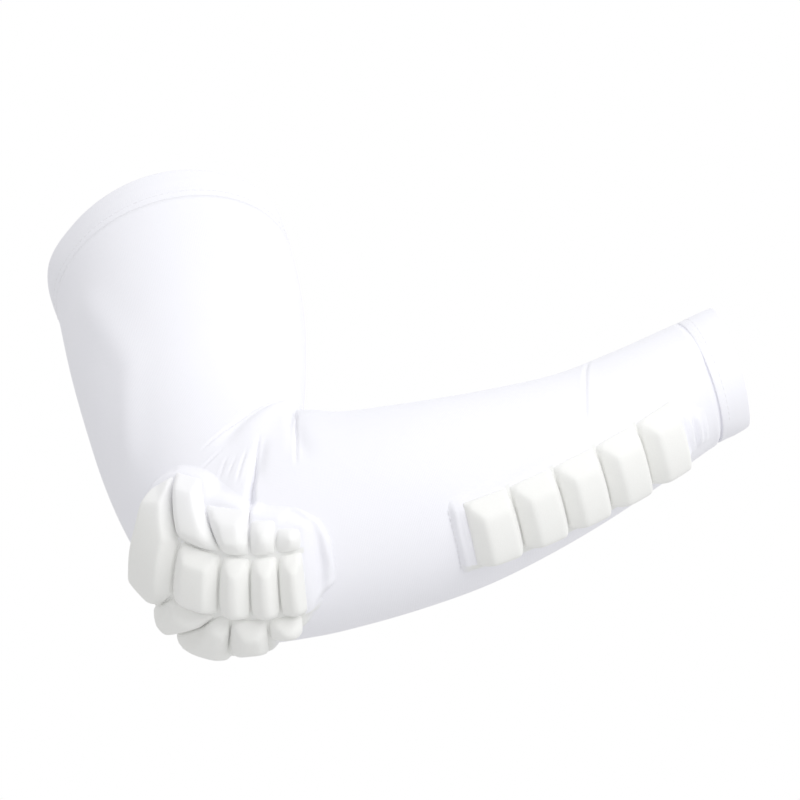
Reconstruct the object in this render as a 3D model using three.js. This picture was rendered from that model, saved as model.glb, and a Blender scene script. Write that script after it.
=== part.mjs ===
// A padded arm sleeve in the form it has on a bent arm: a stretch-knit tube from the upper arm to
// the wrist with a sewn hem at each end, and foam pads on two sewn panels over the elbow and forearm.
//
// Frame: the origin is the elbow's centre, +Z runs up the upper arm, the forearm points along +X,
// and -Y is the outer side of the arm. Lengths are in millimetres and angles in degrees.
import * as THREE from 'three';

const { lerp, smoothstep, degToRad, radToDeg } = THREE.MathUtils;

// Cloth
const KNIT_WALL = 1.4;
const HEM_WALL = 2.4;
const HEM_PROUD = 0.5;
const MOUTH_HEM_LENGTH = 18;
const WRIST_CUFF_LENGTH = 14;
const PANEL_THICKNESS = 1.2;
const SEAM_GAP = 0.3;
const SEAT_GAP = 0.45;

// Foam pads
const PAD_TURN = 23;
const PAD_GAP = 1.2;
const PAD_WALL = 2.6;
const PAD_CHAMFER = 4.2;
const PAD_CHAMFER_SHARE = 0.36;
const ELBOW_PAD_HEIGHT = 7.5;
const FOREARM_PAD_HEIGHT = 7;

// Mesh steps
const TUBE_SIDES = 32;
const PAD_CELL = 7;
const PANEL_CELL = 6;
const CENTRE_LINE_STEPS = 200;

// Cross-sections of the arm from the mouth to the wrist. Each is an oval whose plane holds the back
// point (the elbow's side), the front point (the crook's side) and the Y axis, with a half width in Y.
const SECTIONS = [
  { backX: -48.5, backZ: 171.5, frontX: 57.5, frontZ: 177.0, halfWidth: 52.0 },
  { backX: -49.5, backZ: 147.0, frontX: 58.0, frontZ: 152.0, halfWidth: 52.0 },
  { backX: -50.0, backZ: 116.0, frontX: 55.5, frontZ: 121.0, halfWidth: 51.0 },
  { backX: -49.0, backZ: 81.0, frontX: 50.0, frontZ: 92.0, halfWidth: 47.5 },
  { backX: -47.0, backZ: 49.0, frontX: 45.0, frontZ: 72.0, halfWidth: 45.0 },
  { backX: -43.0, backZ: 21.0, frontX: 43.0, frontZ: 61.0, halfWidth: 44.0 },
  { backX: -36.0, backZ: -6.0, frontX: 42.5, frontZ: 56.0, halfWidth: 43.5 },
  { backX: -22.5, backZ: -30.0, frontX: 43.0, frontZ: 52.5, halfWidth: 43.5 },
  { backX: -3.0, backZ: -44.0, frontX: 45.0, frontZ: 49.5, halfWidth: 44.0 },
  { backX: 22.0, backZ: -48.5, frontX: 49.5, frontZ: 47.0, halfWidth: 44.5 },
  { backX: 46.0, backZ: -48.5, frontX: 57.0, frontZ: 42.5, halfWidth: 44.0 },
  { backX: 72.0, backZ: -47.0, frontX: 71.5, frontZ: 40.0, halfWidth: 43.0 },
  { backX: 100.0, backZ: -43.5, frontX: 91.0, frontZ: 38.0, halfWidth: 41.0 },
  { backX: 128.0, backZ: -36.5, frontX: 115.5, frontZ: 37.0, halfWidth: 37.5 },
  { backX: 160.0, backZ: -25.2, frontX: 148.0, frontZ: 38.0, halfWidth: 33.0 },
  { backX: 183.0, backZ: -15.0, frontX: 173.0, frontZ: 44.0, halfWidth: 30.0 },
  { backX: 210.0, backZ: -1.5, frontX: 202.0, frontZ: 52.0, halfWidth: 27.5 },
  { backX: 225.3, backZ: 5.0, frontX: 221.2, frontZ: 57.4, halfWidth: 26.2 },
];

// Runs of the tube's rings from the mouth, with the step between rings.
const RING_RUNS = [
  { to: 120, step: 13 },
  { to: 290, step: 6.5 },
  { to: Infinity, step: 13 },
];

// Folds of the knit: a crease (negative height) or a puff (positive) between two turns from the back
// line, on the inner side (-1), the outer side (1) or both, with a fade at each of its two ends. It lies
// at a station of the back line, which shifts by the lean with each degree of turn past a right angle,
// and has a half width along the line. The last two are the elbow's knob on the inner side and the
// flare of the mouth's edge.
const FOLDS = [
  { sides: [-1, 1], station: 192, lean: 0, from: 78, to: 160, fade: 20, halfWidth: 6, height: -1.3 },
  { sides: [-1, 1], station: 209, lean: -0.1, from: 84, to: 165, fade: 20, halfWidth: 13, height: 1.5 },
  { sides: [-1, 1], station: 255, lean: -0.6, from: 80, to: 150, fade: 20, halfWidth: 7, height: -1.6 },
  { sides: [-1, 1], station: 224, lean: -0.2, from: 70, to: 104, fade: 14, halfWidth: 5, height: -1.8 },
  { sides: [-1], station: 203, lean: 0, from: 2, to: 130, fade: 42, halfWidth: 25, height: 4.2 },
  { sides: [-1, 1], station: 2, lean: 0, from: -40, to: 45, fade: 30, halfWidth: 12, height: 2 },
];

// Seams between the elbow's pads in the flat pattern, by where they lie along the arm: across the centre
// row, and beside it on the outer and the inner side, where they slope away from it.
const CENTRE_ROW_HALF = 13;
const ELBOW_SEAMS = [
  { centre: 0, outer: -2, outerSlope: -0.95, inner: -1, innerSlope: -0.78 },
  { centre: 19.8, outer: 20.5, outerSlope: -0.95, inner: 19.5, innerSlope: -0.88 },
  { centre: 31.7, outer: 31.5, outerSlope: -0.14, inner: 24.3, innerSlope: -0.2 },
  { centre: 42.6, outer: 42.1, outerSlope: -0.04, inner: 37.6, innerSlope: -0.1 },
  { centre: 53.5, outer: 53.2, outerSlope: 0, inner: 51, innerSlope: -0.1 },
];

// How far the pads beside the centre row reach across, at their near and far seams.
const SIDE_PADS = [
  { outerNear: 31, outerFar: 36, innerNear: 38, innerFar: 52 },
  { outerNear: 29, outerFar: 31, innerNear: 54, innerFar: 50 },
  { outerNear: 27, outerFar: 26, innerNear: 44, innerFar: 36 },
  { outerNear: 23, outerFar: 21, innerNear: 26, innerFar: 24.5 },
];
const TOP_PAD = { near: -26, outerNear: 20, outerFar: 30, innerNear: 22, innerFar: 26 };
const ELBOW_TIP_STATION = 201;

// Foam pads of the forearm, in a strip on the pads' centre line.
const FOREARM_PADS = { count: 5, first: 123.2, pitch: 20.85, half: 14.2 };

// Outlines of the two panels in the flat pattern.
const ELBOW_PANEL = [
  { along: -36, inner: 24, outer: 19 },
  { along: -31, inner: 33, outer: 28 },
  { along: -26, inner: 42, outer: 32.5 },
  { along: -16, inner: 59, outer: 38 },
  { along: -6, inner: 60, outer: 41 },
  { along: 6, inner: 58, outer: 41 },
  { along: 20, inner: 55, outer: 38 },
  { along: 36, inner: 44, outer: 34.5 },
  { along: 50, inner: 29.5, outer: 31 },
  { along: 57, inner: 19, outer: 27 },
  { along: 63, inner: 11, outer: 22 },
  { along: 67, inner: 6, outer: 13 },
];
const FOREARM_PANEL = [
  { along: 116, inner: 15, outer: 13 },
  { along: 119, inner: 19, outer: 16.5 },
  { along: 126, inner: 21, outer: 18 },
  { along: 226, inner: 19, outer: 17 },
  { along: 234, inner: 18, outer: 11 },
  { along: 244, inner: 16, outer: 3 },
];

// Stations measure the back line from the mouth's edge.
const sectionStations = SECTIONS.reduce((stations, row, i) => {
  if (i === 0) return [0];
  const last = SECTIONS[i - 1];
  return [...stations, stations[i - 1] + Math.hypot(row.backX - last.backX, row.backZ - last.backZ)];
}, []);
const WRIST_STATION = sectionStations.at(-1);
const sectionColumns = ['backX', 'backZ', 'frontX', 'frontZ', 'halfWidth'];
const sectionSpline = new THREE.CubicInterpolant(
  sectionStations,
  SECTIONS.flatMap((row) => sectionColumns.map((column) => row[column])),
  sectionColumns.length,
);

// The oval at a station: its centre, the vector from there to the back point, and the half width.
function ovalAt(station) {
  const [backX, backZ, frontX, frontZ, halfWidth] = sectionSpline.evaluate(station);
  const back = new THREE.Vector3(backX, 0, backZ);
  const centre = new THREE.Vector3(frontX, 0, frontZ).add(back).multiplyScalar(0.5);
  return { centre, back: back.sub(centre), halfWidth };
}

// How far the folds push the knit out at a station and angle.
function foldHeight(station, angle) {
  const turn = Math.abs(radToDeg(Math.atan2(Math.sin(angle), Math.cos(angle))));
  const side = Math.sin(angle) < 0 ? -1 : 1;
  return FOLDS.filter((fold) => fold.sides.includes(side)).reduce((sum, fold) => {
    const middle = fold.station + fold.lean * (turn - 90);
    const across = Math.exp(-(((station - middle) / fold.halfWidth) ** 2));
    const begin = smoothstep(turn, fold.from, fold.from + fold.fade);
    const end = 1 - smoothstep(turn, fold.to - fold.fade, fold.to);
    return sum + fold.height * across * begin * end;
  }, 0);
}

// A point of an oval at an angle from the back line towards the outer side, moved out by a lift.
function ovalPoint(station, angle, lift) {
  const { centre, back, halfWidth } = ovalAt(station);
  const spoke = back.multiplyScalar(Math.cos(angle));
  spoke.y = -halfWidth * Math.sin(angle);
  return centre.addScaledVector(spoke, 1 + (lift + foldHeight(station, angle)) / spoke.length());
}

// A point over the knit's outer face, lifted square to it.
function overKnit(station, angle, lift) {
  const [stationStep, angleStep] = [0.5, 0.01];
  const along = ovalPoint(station + stationStep, angle, 0).sub(ovalPoint(station - stationStep, angle, 0));
  const round = ovalPoint(station, angle + angleStep, 0).sub(ovalPoint(station, angle - angleStep, 0));
  return ovalPoint(station, angle, 0).addScaledVector(along.cross(round).normalize(), lift);
}

// The pads' centre line runs down the knit at the pads' turn; a spline gives the station at a length.
const centreLineStations = Array.from(
  { length: CENTRE_LINE_STEPS + 1 },
  (_, i) => (WRIST_STATION * i) / CENTRE_LINE_STEPS,
);
const centreLineLengths = centreLineStations.reduce((lengths, station, i) => {
  if (i === 0) return [0];
  const here = ovalPoint(station, degToRad(PAD_TURN), 0);
  const last = ovalPoint(centreLineStations[i - 1], degToRad(PAD_TURN), 0);
  return [...lengths, lengths[i - 1] + here.distanceTo(last)];
}, []);
const stationSpline = new THREE.LinearInterpolant(centreLineLengths, centreLineStations, 1);
const lengthSpline = new THREE.LinearInterpolant(centreLineStations, centreLineLengths, 1);
const ELBOW_TIP_LENGTH = lengthSpline.evaluate(ELBOW_TIP_STATION)[0];

// Wraps a point of the flat pattern (along the arm from the elbow's tip, across, lift) over the knit.
function wrap(along, across, lift) {
  const station = stationSpline.evaluate(ELBOW_TIP_LENGTH + along)[0];
  const { back, halfWidth } = ovalAt(station);
  const radius = (back.length() + halfWidth) / 2;
  return overKnit(station, degToRad(PAD_TURN) + across / radius, lift);
}

function quadGeometry(points, quads) {
  const geometry = new THREE.BufferGeometry().setFromPoints(points);
  geometry.setIndex(quads.flatMap(([a, b, c, d]) => [a, b, c, a, c, d]));
  geometry.computeVertexNormals();
  return geometry;
}

// Stations of the rings between two stations, as close as their run asks.
function ringStations(start, end) {
  const stops = [start, ...RING_RUNS.map((run) => run.to).filter((to) => to > start && to < end), end];
  return stops.flatMap((stop, i) => {
    if (i === 0) return [start];
    const { step } = RING_RUNS.find((run) => stop <= run.to);
    const count = Math.ceil((stop - stops[i - 1]) / step);
    return Array.from({ length: count }, (_, k) => lerp(stops[i - 1], stop, (k + 1) / count));
  });
}

// A closed tube wall between two stations, standing proud of the knit's face.
function tubeGeometry(start, end, wall, proud) {
  const stations = ringStations(start, end);
  const last = stations.length - 1;
  const points = stations.flatMap((station) => [proud, proud - wall].flatMap((lift) => (
    Array.from({ length: TUBE_SIDES }, (_, j) => ovalPoint(station, (2 * Math.PI * j) / TUBE_SIDES, lift))
  )));
  const at = (ring, layer, side) => (2 * ring + layer) * TUBE_SIDES + (side % TUBE_SIDES);
  const quads = [];
  for (let j = 0; j < TUBE_SIDES; j++) {
    for (let i = 0; i < last; i++) {
      quads.push([at(i, 0, j), at(i + 1, 0, j), at(i + 1, 0, j + 1), at(i, 0, j + 1)]);
      quads.push([at(i, 1, j), at(i, 1, j + 1), at(i + 1, 1, j + 1), at(i + 1, 1, j)]);
    }
    quads.push([at(0, 0, j), at(0, 0, j + 1), at(0, 1, j + 1), at(0, 1, j)]);
    quads.push([at(last, 0, j), at(last, 1, j), at(last, 1, j + 1), at(last, 0, j + 1)]);
  }
  return quadGeometry(points, quads);
}

// A closed slab on the knit with a grid of points in each layer: layer 0 lies below, layer 1 on top.
function slabGeometry(rows, columns, pointAt) {
  const points = [];
  for (const layer of [0, 1]) {
    for (let i = 0; i <= rows; i++) {
      for (let j = 0; j <= columns; j++) points.push(pointAt(i, j, layer));
    }
  }
  const at = (i, j, layer) => layer * (rows + 1) * (columns + 1) + i * (columns + 1) + j;
  const quads = [];
  for (let i = 0; i < rows; i++) {
    for (let j = 0; j < columns; j++) {
      quads.push([at(i, j, 1), at(i + 1, j, 1), at(i + 1, j + 1, 1), at(i, j + 1, 1)]);
      quads.push([at(i, j, 0), at(i, j + 1, 0), at(i + 1, j + 1, 0), at(i + 1, j, 0)]);
    }
    quads.push([at(i, 0, 0), at(i + 1, 0, 0), at(i + 1, 0, 1), at(i, 0, 1)]);
    quads.push([at(i, columns, 0), at(i, columns, 1), at(i + 1, columns, 1), at(i + 1, columns, 0)]);
  }
  for (let j = 0; j < columns; j++) {
    quads.push([at(0, j, 0), at(0, j, 1), at(0, j + 1, 1), at(0, j + 1, 0)]);
    quads.push([at(rows, j, 0), at(rows, j + 1, 0), at(rows, j + 1, 1), at(rows, j, 1)]);
  }
  return quadGeometry(points, quads);
}

// Shares of a pad's side at which its grid lines lie: a chamfer at each end, even cells between.
function padLines({ middle, longest }) {
  const chamfer = Math.min(PAD_CHAMFER / middle, PAD_CHAMFER_SHARE);
  const cells = Math.ceil((longest * (1 - 2 * chamfer)) / PAD_CELL);
  const inner = Array.from({ length: cells + 1 }, (_, i) => lerp(chamfer, 1 - chamfer, i / cells));
  return [0, ...inner, 1];
}

// A pad over an outline of the flat pattern: its wall rises square, then chamfers to the top face.
function padGeometry({ length, width, place }, height) {
  const alongLines = padLines(length);
  const acrossLines = padLines(width);
  const [rows, columns] = [alongLines.length - 1, acrossLines.length - 1];
  const foot = SEAT_GAP + PANEL_THICKNESS + SEAT_GAP;
  return slabGeometry(rows, columns, (i, j, layer) => {
    const rim = i === 0 || j === 0 || i === rows || j === columns;
    const rise = rim ? PAD_WALL : height;
    return wrap(...place(alongLines[i], acrossLines[j]), foot + layer * rise);
  });
}

// An outline between four corners: near and far along the arm, each from its low to its high side.
function quadOutline(nearLow, nearHigh, farLow, farHigh) {
  const place = (p, q) => [0, 1].map((k) => (
    lerp(lerp(nearLow[k], nearHigh[k], q), lerp(farLow[k], farHigh[k], q), p)
  ));
  const gap = (a, b) => Math.hypot(a[0] - b[0], a[1] - b[1]);
  const lengths = [0, 0.5, 1].map((q) => gap(place(0, q), place(1, q)));
  const widths = [0, 0.5, 1].map((p) => gap(place(p, 0), place(p, 1)));
  return {
    length: { middle: lengths[1], longest: Math.max(...lengths) },
    width: { middle: widths[1], longest: Math.max(...widths) },
    place,
  };
}

// A panel of cloth over an outline of the flat pattern.
function panelGeometry(outline) {
  const starts = outline.map((row) => row.along);
  const edges = new THREE.LinearInterpolant(starts, outline.flatMap((row) => [-row.inner, row.outer]), 2);
  const [start, end] = [starts[0], starts.at(-1)];
  const rows = Math.ceil((end - start) / PANEL_CELL);
  const columns = Math.ceil(Math.max(...outline.map((row) => row.inner + row.outer)) / PANEL_CELL);
  return slabGeometry(rows, columns, (i, j, layer) => {
    const along = lerp(start, end, i / rows);
    const [inner, outer] = edges.evaluate(along);
    return wrap(along, lerp(inner, outer, j / columns), SEAT_GAP + layer * PANEL_THICKNESS);
  });
}

const knit = new THREE.MeshStandardMaterial({ color: 0xf6f6fb, roughness: 0.75, metalness: 0 });
const padCloth = new THREE.MeshStandardMaterial({ color: 0xeeeeea, roughness: 0.6, metalness: 0 });
const paddedSleeve = new THREE.Group();

function add(name, geometry, material) {
  const mesh = new THREE.Mesh(geometry, material);
  mesh.name = name;
  paddedSleeve.add(mesh);
}

const cuffStation = WRIST_STATION - WRIST_CUFF_LENGTH;
add('mouth_hem', tubeGeometry(0, MOUTH_HEM_LENGTH, HEM_WALL, HEM_PROUD), knit);
add('knit_tube', tubeGeometry(MOUTH_HEM_LENGTH + SEAM_GAP, cuffStation - SEAM_GAP, KNIT_WALL, 0), knit);
add('wrist_cuff', tubeGeometry(cuffStation, WRIST_STATION, HEM_WALL, HEM_PROUD), knit);
add('elbow_panel', panelGeometry(ELBOW_PANEL), knit);
add('forearm_panel', panelGeometry(FOREARM_PANEL), knit);

const inset = PAD_GAP / 2;

// Where a seam lies along the arm, at a distance across to the outer (positive) or inner side.
function seamAt(seam, across) {
  const beside = Math.abs(across) - CENTRE_ROW_HALF;
  if (beside <= 0) return seam.centre;
  return across > 0 ? seam.outer + seam.outerSlope * beside : seam.inner + seam.innerSlope * beside;
}

// The pad above the elbow's tip, whose far edge follows the first seam.
const topWidth = TOP_PAD.innerFar + TOP_PAD.outerFar;
const topOutline = {
  length: { middle: -TOP_PAD.near, longest: -TOP_PAD.near },
  width: { middle: topWidth, longest: topWidth },
  place: (p, q) => {
    const across = lerp(-TOP_PAD.innerFar, TOP_PAD.outerFar, q);
    const far = seamAt(ELBOW_SEAMS[0], across) - inset;
    return [lerp(TOP_PAD.near, far, p), lerp(lerp(-TOP_PAD.innerNear, TOP_PAD.outerNear, q), across, p)];
  },
};
add('elbow_pad_top', padGeometry(topOutline, ELBOW_PAD_HEIGHT), padCloth);

// Below it each pair of seams holds a centre pad and one on either side.
SIDE_PADS.forEach(({ outerNear, outerFar, innerNear, innerFar }, k) => {
  const [near, far] = [ELBOW_SEAMS[k], ELBOW_SEAMS[k + 1]];
  const [rowEdge, sideEdge] = [CENTRE_ROW_HALF - inset, CENTRE_ROW_HALF + inset];
  const nearCorner = (across) => [seamAt(near, across) + inset, across];
  const farCorner = (across) => [seamAt(far, across) - inset, across];
  const outlines = {
    centre: [nearCorner(-rowEdge), nearCorner(rowEdge), farCorner(-rowEdge), farCorner(rowEdge)],
    outer: [nearCorner(sideEdge), nearCorner(outerNear), farCorner(sideEdge), farCorner(outerFar)],
    inner: [nearCorner(-innerNear), nearCorner(-sideEdge), farCorner(-innerFar), farCorner(-sideEdge)],
  };
  for (const [row, corners] of Object.entries(outlines)) {
    add(`elbow_pad_${row}_${k + 1}`, padGeometry(quadOutline(...corners), ELBOW_PAD_HEIGHT), padCloth);
  }
});

for (let k = 0; k < FOREARM_PADS.count; k++) {
  const near = FOREARM_PADS.first + k * FOREARM_PADS.pitch + inset;
  const far = near + FOREARM_PADS.pitch - PAD_GAP;
  const { half } = FOREARM_PADS;
  const outline = quadOutline([near, -half], [near, half], [far, -half], [far, half]);
  add(`forearm_pad_${k + 1}`, padGeometry(outline, FOREARM_PAD_HEIGHT), padCloth);
}

export default paddedSleeve;
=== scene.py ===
"""Looks of a padded elbow sleeve: stretch knit, sewn hems, cloth panels and moulded foam pads.

Lengths in the tables are millimetres of the shared frame: the origin is the elbow's centre, +Z runs up
to the mouth, +X along to the wrist, and -Y is the sleeve's outer side.
"""
import math
from collections import namedtuple

import bpy
import numpy as np
from mathutils import Matrix, Vector


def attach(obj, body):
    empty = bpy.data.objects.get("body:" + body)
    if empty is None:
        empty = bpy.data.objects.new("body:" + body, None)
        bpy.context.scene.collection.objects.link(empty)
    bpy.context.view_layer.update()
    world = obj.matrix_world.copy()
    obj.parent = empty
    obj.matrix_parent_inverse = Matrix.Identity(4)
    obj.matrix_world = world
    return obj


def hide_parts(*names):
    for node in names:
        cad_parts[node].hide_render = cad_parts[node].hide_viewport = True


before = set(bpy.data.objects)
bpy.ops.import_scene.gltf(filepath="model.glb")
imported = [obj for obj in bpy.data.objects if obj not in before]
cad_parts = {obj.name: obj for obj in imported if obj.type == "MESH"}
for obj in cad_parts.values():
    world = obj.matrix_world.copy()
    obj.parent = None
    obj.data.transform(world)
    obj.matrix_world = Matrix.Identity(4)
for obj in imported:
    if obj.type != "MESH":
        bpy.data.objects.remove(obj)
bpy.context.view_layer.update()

MM = 0.001

# Sections of the sleeve from the mouth to the wrist: back and front points and half width
Section = namedtuple("Section", "back_x back_z front_x front_z half_width")
SECTIONS = [
    Section(-48.5, 171.5, 57.5, 177.0, 52.0),
    Section(-49.5, 147.0, 58.0, 152.0, 52.0),
    Section(-50.0, 116.0, 55.5, 121.0, 51.0),
    Section(-49.0, 81.0, 50.0, 92.0, 47.5),
    Section(-47.0, 49.0, 45.0, 72.0, 45.0),
    Section(-43.0, 21.0, 43.0, 61.0, 44.0),
    Section(-36.0, -6.0, 42.5, 56.0, 43.5),
    Section(-22.5, -30.0, 43.0, 52.5, 43.5),
    Section(-3.0, -44.0, 45.0, 49.5, 44.0),
    Section(22.0, -48.5, 49.5, 47.0, 44.5),
    Section(46.0, -48.5, 57.0, 42.5, 44.0),
    Section(72.0, -47.0, 71.5, 40.0, 43.0),
    Section(100.0, -43.5, 91.0, 38.0, 41.0),
    Section(128.0, -36.5, 115.5, 37.0, 37.5),
    Section(160.0, -25.2, 148.0, 38.0, 33.0),
    Section(183.0, -15.0, 173.0, 44.0, 30.0),
    Section(210.0, -1.5, 202.0, 52.0, 27.5),
    Section(225.3, 5.0, 221.2, 57.4, 26.2),
]

# Main folds of the knit, between two turns in degrees from the back line, on one side or both
INNER = (-1,)
OUTER = (1,)
BOTH = (-1, 1)
Fold = namedtuple("Fold", "sides station lean start end fade half_width height")
FOLDS = [
    Fold(BOTH, 192, 0, 78, 160, 20, 6, -1.3),
    Fold(BOTH, 209, -0.1, 84, 165, 20, 13, 1.5),
    Fold(BOTH, 255, -0.6, 80, 150, 20, 7, -1.6),
    Fold(BOTH, 224, -0.2, 70, 104, 14, 5, -1.8),
    Fold(INNER, 203, 0, 2, 130, 42, 25, 4.2),
    Fold(BOTH, 2, 0, -40, 45, 30, 12, 2.0),
]

# Fine wrinkles: lines from one station and turn to another, with the puff that stands beside a crease
Wrinkle = namedtuple("Wrinkle", "sides station turn end_station end_turn half_width height puff")
WRINKLES = [
    Wrinkle(BOTH, 186, 145, 189, 119, 1.2, -1.1, 0.5),
    Wrinkle(BOTH, 189, 119, 189, 105, 1.2, -1.1, 0.5),
    Wrinkle(BOTH, 189, 105, 186, 93, 1.2, -1.0, 0.4),
    Wrinkle(BOTH, 186, 93, 183, 79, 1.1, -0.8, 0.3),
    Wrinkle(BOTH, 230, 136, 241, 122, 1.3, -1.2, 0.4),
    Wrinkle(BOTH, 241, 122, 247.5, 103, 1.3, -1.3, 0.5),
    Wrinkle(BOTH, 247.5, 103, 251, 86, 1.2, -1.2, 0.4),
    Wrinkle(OUTER, 195, 82, 191, 71, 0.9, -0.8, 0.3),
    Wrinkle(OUTER, 203, 81, 205, 72, 0.9, -0.8, 0.3),
    Wrinkle(OUTER, 209, 83, 210, 75, 0.9, -0.8, 0.3),
    Wrinkle(OUTER, 214, 88, 217, 74, 1.0, -1.0, 0.4),
    Wrinkle(OUTER, 218, 98, 222, 88, 1.2, -1.4, 0.3),
    Wrinkle(OUTER, 222, 88, 225, 79, 1.3, -2.2, 0.4),
    Wrinkle(OUTER, 225, 79, 227, 68, 1.8, -3.8, 0.6),
    Wrinkle(OUTER, 227, 68, 229, 60, 2.2, -4.4, 0.6),
    Wrinkle(OUTER, 229, 60, 231, 51, 1.4, -2.2, 0.4),
    Wrinkle(OUTER, 214, 78, 220, 62, 7.0, 1.0, 0.0),
    Wrinkle(OUTER, 410, 130, 394, 69, 0.9, -1.0, 0.3),
    Wrinkle(OUTER, 454.5, 134, 454.5, 100, 1.2, -1.2, 0.3),
    Wrinkle(OUTER, 454.5, 100, 454.5, 68, 1.1, -0.8, 0.3),
    Wrinkle(BOTH, 454.5, 68, 454.5, -12, 1.4, -1.8, 0.4),
    Wrinkle(BOTH, 45, 41, 98, 60, 8.0, 1.2, 0.0),
    Wrinkle(BOTH, 98, 60, 146, 40, 8.0, 1.2, 0.0),
]
LINE_FADE = 3.0
PUFF_SPREAD = 2.4

# Cloth
KNIT_WALL = 1.4
HEM_WALL = 2.4
HEM_PROUD = 0.2
MOUTH_HEM_LENGTH = 18.0
WRIST_CUFF_LENGTH = 14.0
SEAM_LAP = 2.0
SEAM_PROUD = 0.03
KNIT_PITCH = 0.75

# Foam pads: the cloth bed they are sunk in, their top and the chamfers of their sides and ends
PAD_ANGLE = math.radians(23)
PAD_GAP = 0.3
PAD_SEAT = 2.0
PAD_RIM = -0.3
PadKind = namedtuple("PadKind", "bed top near_chamfer far_chamfer inner_chamfer outer_chamfer")
TOP_KIND = PadKind(5.7, 11.0, 5.0, 5.2, 6.0, 8.0)
CENTRE_KIND = PadKind(5.7, 11.0, 6.2, 4.0, 3.6, 6.5)
OUTER_KIND = PadKind(5.7, 11.0, 6.2, 4.0, 4.4, 8.0)
INNER_KIND = PadKind(5.7, 11.6, 8.0, 3.6, 17.0, 7.0)
FOREARM_KIND = PadKind(3.4, 9.5, 6.0, 3.2, 3.0, 7.5)
NEAR_SHARE = 0.46
FAR_SHARE = 0.36
END_SHARE = 0.45
# How far across the pads turn whiter, from where it starts to their outer ends
OUTER_WHITE_START = 8.0
OUTER_WHITE_END = 34.0

# Seams between the elbow's pads in the flat pattern, across the centre row and beside it
CENTRE_ROW_HALF = 13.0
ELBOW_TIP_STATION = 201.0
Seam = namedtuple("Seam", "centre outer outer_slope inner inner_slope")
ELBOW_SEAMS = [
    Seam(0.0, -2.0, -0.95, -1.0, -0.78),
    Seam(19.8, 20.5, -0.95, 19.5, -0.88),
    Seam(31.7, 31.5, -0.14, 24.3, -0.2),
    Seam(42.6, 42.1, -0.04, 37.6, -0.1),
    Seam(53.5, 53.2, 0.0, 51.0, -0.1),
]

# How far the pads beside the centre row reach across, at their near and far seams
SidePads = namedtuple("SidePads", "outer_near outer_far inner_near inner_far")
SIDE_PADS = [
    SidePads(31, 36, 38, 52),
    SidePads(29, 31, 54, 50),
    SidePads(27, 26, 44, 36),
    SidePads(23, 21, 26, 24.5),
]
TopPad = namedtuple("TopPad", "near outer_near outer_far inner_near inner_far")
TOP_PAD = TopPad(-26, 20, 30, 22, 26)
Strip = namedtuple("Strip", "count first pitch half")
FOREARM_STRIP = Strip(5, 123.2, 20.85, 14.2)

# Panels in the flat pattern, about the pads' centre line
Outline = namedtuple("Outline", "along inner outer")
ELBOW_PANEL = [
    Outline(-36, 24, 19),
    Outline(-31, 33, 28),
    Outline(-26, 42, 32.5),
    Outline(-16, 59, 38),
    Outline(-6, 60, 41),
    Outline(6, 58, 41),
    Outline(20, 55, 38),
    Outline(36, 44, 34.5),
    Outline(50, 29.5, 31),
    Outline(57, 19, 27),
    Outline(63, 11, 22),
    Outline(67, 6, 13),
]
FOREARM_PANEL = [
    Outline(116, 15, 13),
    Outline(119, 19, 16.5),
    Outline(126, 21, 18),
    Outline(226, 19, 17),
    Outline(234, 18, 11),
    Outline(244, 16, 3),
]
PANEL_CLOTH = 0.4
PANEL_LIFT = 1.0
PANEL_EDGE_LIFT = -0.1
PANEL_BORDER = 7.0
PAD_BED_START = 0.5
PAD_BED_REACH = 8.0
# Painted shade on the panels: how far the pads' darker tone reaches into the valleys between pads, and
# round the inner pads, where it is partly their base cloth
VALLEY_START = 0.2
VALLEY_REACH = 0.8
VALLEY_END = 1.6
PAD_BASE_AND_SHADE_FADE = 7.0

# Ridges and creases of the panels' cloth, from one point of the pattern to another
Crease = namedtuple("Crease", "along across end_along end_across half_width height")
ELBOW_CREASES = [
    Crease(50, 33, 54, 29.5, 2.4, 1.4),
    Crease(54, 29.5, 60, 23, 2.5, 2.0),
    Crease(60, 23, 63, 15.5, 2.6, 2.4),
    Crease(63, 15.5, 64.5, 5, 2.6, 2.4),
    Crease(64.5, 5, 62.8, -3.5, 2.5, 2.2),
    Crease(62.8, -3.5, 59.5, -7.5, 2.0, 1.6),
    Crease(65, -6, 59, -11, 1.2, -1.0),
]
FOREARM_CREASES = [
    Crease(119.9, 14, 119.2, 2, 1.2, 1.3),
    Crease(119.2, 2, 119.9, -19, 1.2, 1.3),
    Crease(117.4, 13, 117, -16, 0.8, -0.3),
    Crease(230, 5, 230.5, -11, 0.9, -1.1),
    Crease(233.3, 4, 232.6, -13, 1.0, 1.2),
    Crease(235.5, 2, 235, -12, 0.8, -0.8),
    Crease(238, 1, 237.3, -12, 1.0, 1.1),
    Crease(241.5, -3, 241, -12, 0.8, 0.8),
]


class Track:
    """A smooth track through the rows of a table at rising places."""

    def __init__(self, places, rows):
        self.places = np.asarray(places, float)
        self.rows = np.asarray(rows, float)
        self.steps = np.diff(self.places)
        secants = np.diff(self.rows, axis=0) / self.steps[:, None]
        before = np.vstack([secants[:1], secants])
        after = np.vstack([secants, secants[-1:]])
        self.slopes = (before + after) / 2

    def at(self, place):
        """The rows at places on the track."""
        place = np.clip(place, self.places[0], self.places[-1])
        i = np.clip(np.searchsorted(self.places, place, side="right") - 1, 0, len(self.steps) - 1)
        step = self.steps[i][..., None]
        p = (place - self.places[i])[..., None] / step
        blend = p * p * (3 - 2 * p)
        leave = p * (1 - p) ** 2 * step * self.slopes[i]
        arrive = p * p * (1 - p) * step * self.slopes[i + 1]
        return self.rows[i] * (1 - blend) + self.rows[i + 1] * blend + leave - arrive


def lerp(start, end, share):
    return start + (end - start) * share


def smoothstep(value, start, end):
    """Goes smoothly from 0 at the start to 1 at the end."""
    share = np.clip((value - start) / (end - start), 0, 1)
    return share * share * (3 - 2 * share)


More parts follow.
